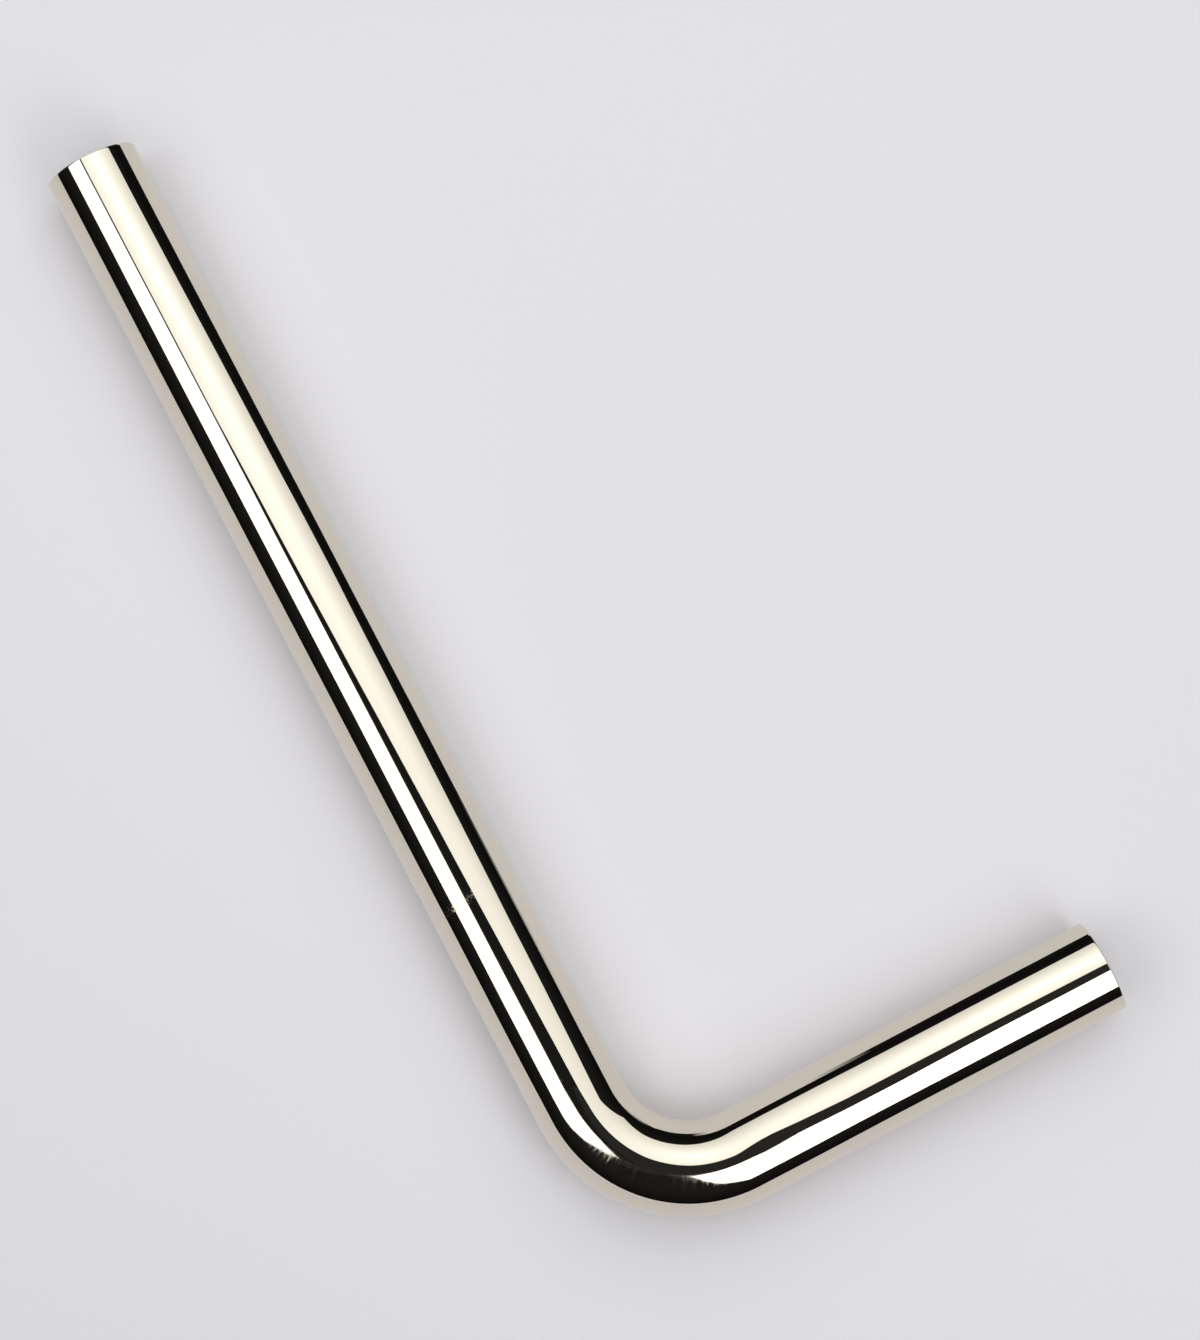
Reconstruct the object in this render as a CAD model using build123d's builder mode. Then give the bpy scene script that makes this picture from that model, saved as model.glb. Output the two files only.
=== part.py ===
from build123d import *
import os

# Flush pipe: one length of plated brass tube with a single square bend, lying flat as on a table.
# The long leg runs along +Y to the cistern end, and the short leg along +X to the pan end.

tube_diameter = 38.1
wall = 1.2
long_leg = 470.0  # from the corner of the centre lines to the cistern end
short_leg = 209.5  # from the same corner to the pan end
bend_radius = 48.0  # on the centre line
rim_round = 0.4  # outer edge of each cut end
bore_deburr = 0.4  # inner edge of each cut end

tube_radius = tube_diameter / 2
bore_radius = tube_radius - wall

# The corner is set so that the middle of the pipe's footprint is at the origin.
corner = Vector((tube_radius - short_leg) / 2, (tube_radius - long_leg) / 2, tube_radius)
cistern_end = corner + Vector(0, long_leg, 0)
pan_end = corner + Vector(short_leg, 0, 0)

with BuildPart() as flush_pipe:
    # Centre line from the cistern down the long leg, round the bend and out to the pan
    with BuildLine() as centre_line:
        FilletPolyline(cistern_end, corner, pan_end, radius=bend_radius)

    # Tube carried along the centre line, with the bore open from end to end
    with BuildSketch(centre_line.line ^ 0):
        Circle(tube_radius)
        Circle(bore_radius, mode=Mode.SUBTRACT)
    sweep()

    # Ends cut square, rounded outside and deburred inside
    cut_ends = flush_pipe.faces().filter_by(GeomType.PLANE)
    fillet([end.outer_wire().edge() for end in cut_ends], radius=rim_round)
    chamfer([end.inner_wires()[0].edge() for end in cut_ends], length=bore_deburr)

flush_pipe.part.label = "flush_pipe"

os.makedirs("parts", exist_ok=True)
export_step(flush_pipe.part, "parts/flush_pipe.step")
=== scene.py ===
import bpy
import bmesh
import math
from mathutils import Matrix, Vector


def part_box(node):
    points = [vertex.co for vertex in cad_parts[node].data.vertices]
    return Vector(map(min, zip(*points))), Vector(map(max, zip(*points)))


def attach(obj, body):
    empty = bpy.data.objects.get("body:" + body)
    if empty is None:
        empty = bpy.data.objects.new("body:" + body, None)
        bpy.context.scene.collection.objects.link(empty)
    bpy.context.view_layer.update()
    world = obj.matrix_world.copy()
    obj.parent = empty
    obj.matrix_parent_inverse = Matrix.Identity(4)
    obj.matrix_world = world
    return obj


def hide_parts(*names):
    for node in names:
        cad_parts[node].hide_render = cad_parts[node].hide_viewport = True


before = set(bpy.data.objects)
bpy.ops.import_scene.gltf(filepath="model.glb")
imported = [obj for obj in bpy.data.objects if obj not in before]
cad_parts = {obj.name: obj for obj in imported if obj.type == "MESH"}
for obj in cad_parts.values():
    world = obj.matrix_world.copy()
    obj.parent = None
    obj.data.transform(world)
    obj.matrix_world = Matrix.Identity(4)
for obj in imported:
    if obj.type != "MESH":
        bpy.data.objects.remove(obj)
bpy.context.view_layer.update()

# Sizes of the pipe in metres; its reach comes from the frame
pipe_low, pipe_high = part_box("flush_pipe")
tube_radius = (pipe_high.z - pipe_low.z) / 2
wall = 0.0012
bend_radius = 0.048
rim_round = 0.0004

# The corner is where the two centre lines would meet, and the bend cuts it off.
corner = Vector((pipe_low.x + tube_radius, pipe_low.y + tube_radius, (pipe_low.z + pipe_high.z) / 2))
bend_centre = corner + Vector((bend_radius, bend_radius, 0))
long_straight = pipe_high.y - bend_centre.y
short_straight = pipe_high.x - bend_centre.x
bend_length = bend_radius * math.pi / 2

# How finely the skins are divided
round_segments = 160
rim_segments = 4
end_ring = 0.0009  # a ring this far from each end keeps the wall's shading straight up to the rim
outer_rings = {"long": 140, "bend": 60, "short": 60}
bore_rings = {"long": 20, "bend": 30, "short": 10}
weld = 0.00001  # points closer than this are joined
sharp = math.radians(45)  # an edge that turns more than this is a rim

# Where the plate is worn: along the pipe from the cistern end in metres, and round it in radians, from 0
# on the outer side of the bend to half of pi on top
scuff_along = 0.3284  # a ring of fine scratches across the long leg
scuff_lean = 0.0026  # how far along it moves for each radian round
scuff_width = 0.002
scuff_round = 1.3
scuff_reach = 0.5
stroke_along = 0.4412  # strokes of hand polishing where the bend starts
stroke_round = 1.32
stroke_length = 0.0048
stroke_reach = 0.15
brushed_along = long_straight + bend_length / 2  # finer ones all along the bend
brushed_round = 1.3
brushed_length = bend_length / 2
brushed_reach = 0.25

# Marks in the plate: their grain per metre across the pipe and along it, the levels of noise between which
# they set in, and how dull they are from the one level to the other
noise_levels = (0.3, 0.7)
polish_lines = {"grain": (90, 90, 2600), "detail": 3.0, "levels": noise_levels, "dull": (0.012, 0.035)}
scuff_nicks = {"grain": (900, 900, 1700), "detail": 3.0, "levels": (0.48, 0.62), "dull": (0.0, 0.32)}
bend_strokes = {"grain": (120, 120, 2200), "detail": 2.0, "levels": (0.45, 0.62), "dull": (0.0, 0.2)}
bend_hairs = {"grain": (150, 150, 1800), "detail": 2.0, "levels": (0.42, 0.6), "dull": (0.0, 0.09)}
speck_grain = 150.0
speck_edge = (0.015, 0.03)  # from a speck's middle, as shares of its grain
speck_dull = (0.2, 0.0)

# Plate and bore
nickel_tints = {"A": (0.745, 0.695, 0.587, 1), "B": (0.715, 0.668, 0.563, 1)}
tint_grain = (30, 30, 12)
wave_grain = (28, 28, 14)
wave_depth = 0.0003
bore_tints = {"A": (0.62, 0.55, 0.43, 1), "B": (0.5, 0.42, 0.3, 1)}
bore_metal = 0.8
drawn_grain = (900, 900, 15)
bore_dull = (0.35, 0.55)

# Photograph's frame and the camera above the table
image_size = (1200, 1340)
focal_pixels = 2831.6
film_width = 36.0  # millimetres
camera_place = Vector((-0.02758, -0.04628, 1.14827))
camera_aim = Vector((-0.00821, -0.02808, 0.0))
camera_turn = math.radians(27.623)  # the picture's upright, clockwise from +Y

# Studio panels, level over the table, with outlines in metres from the corner of the centre lines. The
# metal mirrors them, so their edges are the edges of its stripes.
panel_height = 1.0
panel_gap = 0.005  # between one panel and the next behind it
left_box = [(-1.205, -0.11), (-1.0, -0.21), (-0.7, -0.265), (-0.35, -0.24), (-0.2, -0.19),
            (-0.11, -0.11), (-0.2, -0.075), (-0.27, -0.05), (-0.25, 1.0), (-1.09, 1.0)]
left_border = 0.06
left_strength = 1.75
front_box = [(-0.028, -0.18), (-0.059, -0.262), (-0.1, -0.4), (-0.133, -0.63), (-0.128, -0.78),
             (-0.085, -0.97), (-0.02, -1.26), (0.75, -1.53), (0.75, -0.155), (0.21, -0.155),
             (0.16, -0.178), (0.11, -0.16), (0.073, -0.108), (0.062, -0.143), (0.052, -0.156),
             (0.04, -0.118), (0.03, -0.085), (0.0, -0.135)]
front_border = 0.028
front_strength = 2.3
scrim = [(-0.193, 0.504), (0.247, -0.013), (0.511, -0.405), (1.294, -0.07), (2.65, 0.54),
         (1.79, 0.945), (1.4, 1.6), (0.39, 2.8), (-0.4, 3.86), (-0.6, 1.1)]
scrim_hot_spot = Vector((0.35, 0.65, panel_height))
scrim_base = 0.82
scrim_glow = 1.05  # added at the hot spot
scrim_fall = 0.7  # how far from there the glow has mostly gone
scrim_fall_power = 0.8
dark_card_height = 0.1
dark_card = [(0.005, 0.05), (0.0195, 0.05), (0.031, 0.027), (0.038, 0.0225), (0.046, 0.022),
             (0.051, 0.026), (0.057, 0.029), (0.062, 0.029), (0.068, 0.0262), (0.074, 0.0235),
             (0.095, 0.0178), (0.235, 0.0118), (0.235, -0.01), (0.06, -0.006), (0.03, -0.002), (0.005, 0.0)]
cloth_glow = 0.026  # dark cloth of the card and of the boxes' borders

# Low flags that stand on the table, each with its cloth clear at its first point
flag_height = 0.03
long_flag = [(0.29, 0.06), (0.29, 0.18), (0.29, 0.55)]
short_flag = [(0.085, 0.1792), (0.118, 0.1792), (0.235, 0.1792)]
flag_glow = 0.008

# Dark room round the table, whose edge stands higher to the left and in front
room_radius = 1.0
room_slope = 0.045
room_segments = 64
room_wall = 3.6
room_sill = 0.6
room_ceiling = 2.2
room_glow = (0.006, 0.013)  # from the sill to the ceiling
room_weld = 0.0001

# Table and backdrop
table_reach = 30.0
table_paper = (0.825, 0.813, 0.842, 1)
painted_table_glow = 0.35  # painted light: how much of the pale backdrop's glow the table gives off in the metal's reflections, over its lit and shaded paper
table_fade = (0.45, 1.3)  # from the origin, where the paper starts and ends its turn into the backdrop
pale = (0.73, 0.72, 0.745, 1)
ambient = 0.12  # what the backdrop lends to the light


def add(tree, kind, inputs=None, **settings):
    """A new shader node with its settings, and its inputs' values or links."""
    made = tree.nodes.new("ShaderNode" + kind)
    for name, value in settings.items():
        setattr(made, name, value)
    for name, value in (inputs or {}).items():
        if isinstance(value, bpy.types.NodeSocket):
            tree.links.new(value, made.inputs[name])
        else:
            made.inputs[name].default_value = value
    return made


def math_node(tree, operation, *values):
    """The result of one arithmetic step."""
    return add(tree, "Math", dict(enumerate(values)), operation=operation).outputs[0]


def remap(tree, value, from_ends, to_ends, kind="LINEAR"):
    """A value moved from one range to another and held inside it."""
    ends = {"From Min": from_ends[0], "From Max": from_ends[1], "To Min": to_ends[0], "To Max": to_ends[1]}
    return add(tree, "MapRange", {"Value": value, **ends}, interpolation_type=kind).outputs["Result"]


def noise(tree, place, grain, detail=2.0):
    """Noise whose grain is stretched by a different scale along each direction."""
    stretched = add(tree, "Mapping", {"Vector": place, "Scale": grain}).outputs["Vector"]
    return add(tree, "TexNoise", {"Vector": stretched, "Scale": 1.0, "Detail": detail}).outputs["Fac"]


def hill(tree, value, centre, width):
    """One at the centre, falling softly to zero on both sides."""
    off = math_node(tree, "DIVIDE", math_node(tree, "SUBTRACT", value, centre), width)
    squared = math_node(tree, "MULTIPLY", off, off)
    return math_node(tree, "EXPONENT", math_node(tree, "MULTIPLY", squared, -1.0))


def new_object(name, bm):
    """A scene object at the origin from a bmesh, with its place in its mesh."""
    mesh = bpy.data.meshes.new(name)
    bm.to_mesh(mesh)
    bm.free()
    made = bpy.data.objects.new(name, mesh)
    bpy.context.scene.collection.objects.link(made)
    return made


# Pipe

def grown_ring(bm, ring):
    """A new ring of edges grown from a ring, with a wall between them, and its vertices."""
    grown = bmesh.ops.extrude_edge_only(bm, edges=ring)["geom"]
    verts = [g for g in grown if isinstance(g, bmesh.types.BMVert)]
    return [g for g in grown if isinstance(g, bmesh.types.BMEdge) and g.is_boundary], verts


def carry(bm, ring, step, count):
    """Carries a ring along in equal steps, and gives the last ring."""
    for _ in range(count):
        ring, verts = grown_ring(bm, ring)
        bmesh.ops.translate(bm, vec=step, verts=verts)
    return ring


def turn(bm, ring, angle, count):
    """Carries a ring round the bend, and gives the last ring."""
    verts = list(dict.fromkeys(vert for edge in ring for vert in edge.verts))
    swept = bmesh.ops.spin(bm, geom=verts + ring, cent=bend_centre, axis=(0, 0, 1), angle=angle,
                           steps=count, use_merge=False, use_duplicate=False)["geom_last"]
    return [g for g in swept if isinstance(g, bmesh.types.BMEdge)]


def cross(bm, ring, centre, factor):
    """Carries a ring across a cut end, inwards or outwards, and gives the last ring."""
    ring, verts = grown_ring(bm, ring)
    bmesh.ops.scale(bm, vec=(factor, factor, factor), space=Matrix.Translation(-centre), verts=verts)
    return ring


def straightened(point):
    """Where a point would be on the pipe pulled straight: across the tube in x and y, along it in z."""
    across = point - bend_centre
    height = point.z - corner.z
    if across.y > 0:
        return Vector((corner.x - point.x, height, long_straight - across.y))
    if across.x > 0:
        return Vector((corner.y - point.y, height, long_straight + bend_length + across.x))
    angle = math.atan2(-across.y, -across.x)
    return Vector((across.to_2d().length - bend_radius, height, long_straight + bend_radius * angle))


def make_pipe():
    """The tube with its bore, rounded rims and the straightened place of every point."""
    cistern_end = Vector((corner.x, pipe_high.y, corner.z))
    pan_end = Vector((pipe_high.x, corner.y, corner.z))
    long_run = Vector((0, long_straight - end_ring, 0))
    short_run = Vector((short_straight - end_ring, 0, 0))
    long_tip = Vector((0, end_ring, 0))
    short_tip = Vector((end_ring, 0, 0))
    thinner = (tube_radius - wall) / tube_radius
    bm = bmesh.new()

    # Outside, from the cistern end to the pan end
    place = Matrix.Translation(cistern_end) @ Matrix.Rotation(math.pi / 2, 4, "X")
    made = bmesh.ops.create_circle(bm, segments=round_segments, radius=tube_radius, matrix=place)["verts"]
    first = list(dict.fromkeys(edge for vert in made for edge in vert.link_edges))
    ring = carry(bm, first, -long_tip, 1)
    ring = carry(bm, ring, -long_run / outer_rings["long"], outer_rings["long"])
    ring = turn(bm, ring, math.pi / 2, outer_rings["bend"])
    ring = carry(bm, ring, short_run / outer_rings["short"], outer_rings["short"])
    ring = carry(bm, ring, short_tip, 1)

    # Bore, back to the cistern end, where the last ring meets the first
    ring = cross(bm, ring, pan_end, thinner)
    bore_start = len(bm.faces)
    ring = carry(bm, ring, -short_tip, 1)
    ring = carry(bm, ring, -short_run / bore_rings["short"], bore_rings["short"])
    ring = turn(bm, ring, -math.pi / 2, bore_rings["bend"])
    ring = carry(bm, ring, long_run / bore_rings["long"], bore_rings["long"])
    ring = carry(bm, ring, long_tip, 1)
    bore_end = len(bm.faces)
    cross(bm, ring, cistern_end, 1 / thinner)
    for face in bm.faces[bore_start:bore_end]:
        face.material_index = 1
    bmesh.ops.remove_doubles(bm, verts=bm.verts, dist=weld)
    bmesh.ops.recalc_face_normals(bm, faces=bm.faces)

    rims = [edge for edge in bm.edges if edge.calc_face_angle() > sharp]
    bmesh.ops.bevel(bm, geom=rims, offset=rim_round, offset_type="OFFSET", segments=rim_segments,
                    profile=0.5, affect="EDGES", material=-1)
    for face in bm.faces:
        face.smooth = True
    straight = bm.verts.layers.float_vector.new("straight")
    for vert in bm.verts:
        vert[straight] = straightened(vert.co)
    return new_object("flush_pipe_nickel", bm)


def marks(tree, place, grain, detail, levels, dull):
    """How dull one kind of mark makes the plate, if it were all over the pipe."""
    return remap(tree, noise(tree, place, grain, detail), levels, dull)


def plate_wear(tree, place):
    """How dull the plate is: fine polishing lines, a scuffed ring, strokes and hairs in the bend, specks."""
    across = add(tree, "SeparateXYZ", {0: place}).outputs
    along = across["Z"]
    around = math_node(tree, "ARCTAN2", across["Y"], across["X"])
    dull = marks(tree, place, **polish_lines)

    leaning = math_node(tree, "MULTIPLY_ADD", around, scuff_lean, along)
    ring = hill(tree, leaning, scuff_along + scuff_lean * math.pi / 2, scuff_width)
    scuffed = math_node(tree, "MULTIPLY", ring, hill(tree, around, scuff_round, scuff_reach))
    dull = math_node(tree, "MULTIPLY_ADD", scuffed, marks(tree, place, **scuff_nicks), dull)

    polished = math_node(tree, "MULTIPLY", hill(tree, along, stroke_along, stroke_length),
                         hill(tree, around, stroke_round, stroke_reach))
    dull = math_node(tree, "MULTIPLY_ADD", polished, marks(tree, place, **bend_strokes), dull)

    brushed = math_node(tree, "MULTIPLY", hill(tree, along, brushed_along, brushed_length),
                        hill(tree, around, brushed_round, brushed_reach))
    dull = math_node(tree, "MULTIPLY_ADD", brushed, marks(tree, place, **bend_hairs), dull)

    specks = add(tree, "TexVoronoi", {"Vector": place, "Scale": speck_grain}).outputs["Distance"]
    return math_node(tree, "ADD", dull, remap(tree, specks, speck_edge, speck_dull))


def metal_material(name, metal):
    """A new material with how much of it is metal, its node tree, its surface and the straightened place."""
    material = bpy.data.materials.new(name)
    material.use_nodes = True
    tree = material.node_tree
    surface = tree.nodes["Principled BSDF"]
    surface.inputs["Metallic"].default_value = metal
    place = add(tree, "Attribute", attribute_name="straight").outputs["Vector"]
    return material, tree, surface, place


def nickel_material():
    """Bright nickel plate: a mirror with a warm tint, slightly wavy from polishing, with its wear."""
    material, tree, surface, place = metal_material("nickel_plate", 1.0)
    cloud = remap(tree, noise(tree, place, tint_grain), noise_levels, (0.0, 1.0))
    tint = add(tree, "Mix", {"Factor": cloud, **nickel_tints}, data_type="RGBA")
    tree.links.new(tint.outputs["Result"], surface.inputs["Base Color"])
    tree.links.new(plate_wear(tree, place), surface.inputs["Roughness"])
    wave = noise(tree, place, wave_grain, 1.0)
    bump = add(tree, "Bump", {"Height": wave, "Distance": wave_depth, "Strength": 1.0})
    tree.links.new(bump.outputs["Normal"], surface.inputs["Normal"])
    return material


def bore_material():
    """Inside of the tube: thin dull plate over drawn brass, with lines along the tube."""
    material, tree, surface, place = metal_material("bore_plate", bore_metal)
    drawn = noise(tree, place, drawn_grain, 3.0)
    tint = add(tree, "Mix", {"Factor": drawn, **bore_tints}, data_type="RGBA")
    tree.links.new(tint.outputs["Result"], surface.inputs["Base Color"])
    tree.links.new(remap(tree, drawn, noise_levels, bore_dull), surface.inputs["Roughness"])
    return material


pipe = make_pipe()
pipe.data.materials.append(nickel_material())
pipe.data.materials.append(bore_material())
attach(pipe, "root")
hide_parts("flush_pipe")


# Studio

def emission_material(name, strength=1.0):
    """A white material that only gives light, with its node tree and its emission node."""
    material = bpy.data.materials.new(name)
    material.use_nodes = True
    tree = material.node_tree
    tree.nodes.clear()
    light = add(tree, "Emission", {"Color": (1, 1, 1, 1), "Strength": strength})
    add(tree, "OutputMaterial", {"Surface": light.outputs["Emission"]})
    return material, tree, light


def studio_object(name, bm, material):
    """A thing of the studio, hidden from the camera and seen in reflections."""
    made = new_object(name, bm)
    made.data.materials.append(material)
    made.visible_camera = False
    return made


def reflected_only(made):
    """Keeps a dark thing out of the light and the shadows, so that only the metal shows it."""
    made.visible_diffuse = False
    made.visible_shadow = False
    made.visible_transmission = False


def card(name, outline, height, material):
    """A flat level card over the table."""
    bm = bmesh.new()
    base = Vector((corner.x, corner.y, height))
    verts = [bm.verts.new(base + Vector((x, y, 0))) for x, y in outline]
    edges = [bm.edges.new((verts[i - 1], verts[i])) for i in range(len(verts))]
    bmesh.ops.triangle_fill(bm, edges=edges, use_beauty=True, normal=(0, 0, -1))
    return studio_object(name, bm, material)


def flag(name, foot, material):
    """A low dark strip standing on the table."""
    bm = bmesh.new()
    cloth = bm.verts.layers.float.new("cloth")
    verts = [bm.verts.new((corner.x + x, corner.y + y, 0)) for x, y in foot]
    for vert in verts[1:]:
        vert[cloth] = 1.0
    edges = [bm.edges.new(pair) for pair in zip(verts, verts[1:])]
    risen = bmesh.ops.extrude_edge_only(bm, edges=edges)["geom"]
    top = [g for g in risen if isinstance(g, bmesh.types.BMVert)]
    bmesh.ops.translate(bm, vec=(0, 0, flag_height), verts=top)
    return studio_object(name, bm, material)


def widened(outline, margin):
    """The outline moved outwards from its middle by a margin along X and Y."""
    middle_x = sum(x for x, y in outline) / len(outline)
    middle_y = sum(y for x, y in outline) / len(outline)
    return [(x + math.copysign(margin, x - middle_x), y + math.copysign(margin, y - middle_y))
            for x, y in outline]


def scrim_material():
    """A large cloth lit from behind, brightest at its hot spot."""
    material, tree, light = emission_material("scrim")
    place = add(tree, "TexCoord").outputs["Object"]
    hot_spot = Vector((corner.x, corner.y, 0)) + scrim_hot_spot
    far = add(tree, "VectorMath", {0: place, 1: hot_spot}, operation="DISTANCE").outputs["Value"]
    fall = math_node(tree, "POWER", math_node(tree, "DIVIDE", far, scrim_fall), scrim_fall_power)
    glow = math_node(tree, "EXPONENT", math_node(tree, "MULTIPLY", fall, -1.0))
    strength = math_node(tree, "MULTIPLY_ADD", glow, scrim_glow, scrim_base)
    tree.links.new(strength, light.inputs["Strength"])
    return material


def flag_material():
    """Black cloth that thins out at one end, so that the end leaves no hard mark in the metal."""
    material, tree, light = emission_material("black_flag", flag_glow)
    cloth = add(tree, "Attribute", attribute_name="cloth").outputs["Fac"]
    clear = add(tree, "BsdfTransparent")
    mixed = add(tree, "MixShader", {0: cloth, 1: clear.outputs[0], 2: light.outputs[0]})
    tree.links.new(mixed.outputs[0], tree.nodes["Material Output"].inputs["Surface"])
    return material


def make_lights():
    """A big scrim, two soft boxes with dark borders in front of it, the dark card and the two flags."""
    cloth = emission_material("dark_cloth", cloth_glow)[0]
    black = flag_material()
    card("scrim", scrim, panel_height + 2 * panel_gap, scrim_material())
    for name, outline, border, strength in (("left_box", left_box, left_border, left_strength),
                                            ("front_box", front_box, front_border, front_strength)):
        behind = card(name + "_border", widened(outline, border), panel_height + panel_gap, cloth)
        reflected_only(behind)
        card(name, outline, panel_height, emission_material(name, strength)[0])
    reflected_only(card("dark_card", dark_card, dark_card_height, cloth))
    for name, foot in (("long_flag", long_flag), ("short_flag", short_flag)):
        reflected_only(flag(name, foot, black))


def room_material():
    """Near black, a little lighter towards the ceiling."""
    material, tree, light = emission_material("dark_room")
    height = add(tree, "SeparateXYZ", {0: add(tree, "TexCoord").outputs["Object"]}).outputs["Z"]
    tree.links.new(remap(tree, height, (room_sill, room_ceiling), room_glow), light.inputs["Strength"])
    return material


def make_surround():
    """The dark room round the table, shown only in reflections; the table's edge is where it starts."""
    profile = [(room_radius, 0.0), (room_wall, room_sill), (room_wall, room_ceiling), (0.0, room_ceiling)]
    bm = bmesh.new()
    verts = [bm.verts.new((r, 0, z)) for r, z in profile]
    edges = [bm.edges.new(pair) for pair in zip(verts, verts[1:])]
    bmesh.ops.spin(bm, geom=verts + edges, cent=(0, 0, 0), axis=(0, 0, 1), angle=2 * math.pi,
                   steps=room_segments, use_merge=True, use_duplicate=False)
    bmesh.ops.remove_doubles(bm, verts=bm.verts, dist=room_weld)
    tilt = Matrix.Rotation(math.atan(room_slope * math.sqrt(2)), 3, Vector((-1, 1, 0)))
    bmesh.ops.rotate(bm, verts=bm.verts, cent=(0, 0, 0), matrix=tilt)
    bmesh.ops.translate(bm, verts=bm.verts, vec=(0, 0, room_slope * room_radius))
    reflected_only(studio_object("dark_room", bm, room_material()))


def seen_directly(tree):
    """One for what the camera, a mirror or glass shows, and zero for light that falls on other things."""
    path = add(tree, "LightPath").outputs
    seen = math_node(tree, "ADD", path["Is Camera Ray"], path["Is Glossy Ray"])
    return math_node(tree, "ADD", seen, path["Is Transmission Ray"])


def table_material():
    """Pale matt paper that turns into the pale backdrop far from the pipe, with a painted pale glow in the
    metal's reflections that lightens the table's shadows there.
    """
    material = bpy.data.materials.new("table_paper")
    material.use_nodes = True
    tree = material.node_tree
    tree.nodes.clear()
    place = add(tree, "TexCoord").outputs["Object"]
    paper = add(tree, "BsdfDiffuse", {"Color": table_paper})
    backdrop = add(tree, "Emission", {"Color": pale})
    far = add(tree, "VectorMath", {0: place}, operation="LENGTH").outputs["Value"]
    turned = remap(tree, far, table_fade, (0.0, 1.0), "SMOOTHSTEP")
    share = math_node(tree, "MULTIPLY", turned, seen_directly(tree))
    # Painted reflection: in the metal the table glows with part of the pale backdrop, so its shadows look
    # lighter there
    painted_glow_in_metal = math_node(tree, "MULTIPLY", add(tree, "LightPath").outputs["Is Glossy Ray"], painted_table_glow)
    share = math_node(tree, "MAXIMUM", share, painted_glow_in_metal)
    mixed = add(tree, "MixShader", {0: share, 1: paper.outputs[0], 2: backdrop.outputs[0]})
    add(tree, "OutputMaterial", {"Surface": mixed.outputs[0]})
    return material


def make_floor():
    """The table top, which reaches far out on all sides."""
    bm = bmesh.new()
    bmesh.ops.create_grid(bm, x_segments=1, y_segments=1, size=table_reach)
    made = new_object("table", bm)
    made.data.materials.append(table_material())


def make_world():
    """A pale backdrop all round that lends the table only a little light."""
    world = bpy.data.worlds.new("backdrop")
    world.use_nodes = True
    tree = world.node_tree
    backdrop = tree.nodes["Background"]
    backdrop.inputs["Color"].default_value = pale
    tree.links.new(math_node(tree, "MAXIMUM", seen_directly(tree), ambient), backdrop.inputs["Strength"])
    bpy.context.scene.world = world


def make_camera():
    """The camera over the table, turned as in the photograph."""
    data = bpy.data.cameras.new("camera")
    data.sensor_width = film_width
    data.lens = film_width * focal_pixels / max(image_size)
    back = (camera_place - camera_aim).normalized()
    right = Vector((math.sin(camera_turn), math.cos(camera_turn), 0)).cross(back).normalized()
    made = bpy.data.objects.new("camera", data)
    axes = Matrix((right, back.cross(right), back)).transposed()
    made.matrix_world = Matrix.Translation(camera_place) @ axes.to_4x4()
    bpy.context.scene.collection.objects.link(made)
    bpy.context.scene.camera = made


make_lights()
make_surround()
make_floor()
make_world()
make_camera()
bpy.context.scene.view_settings.view_transform = "Standard"
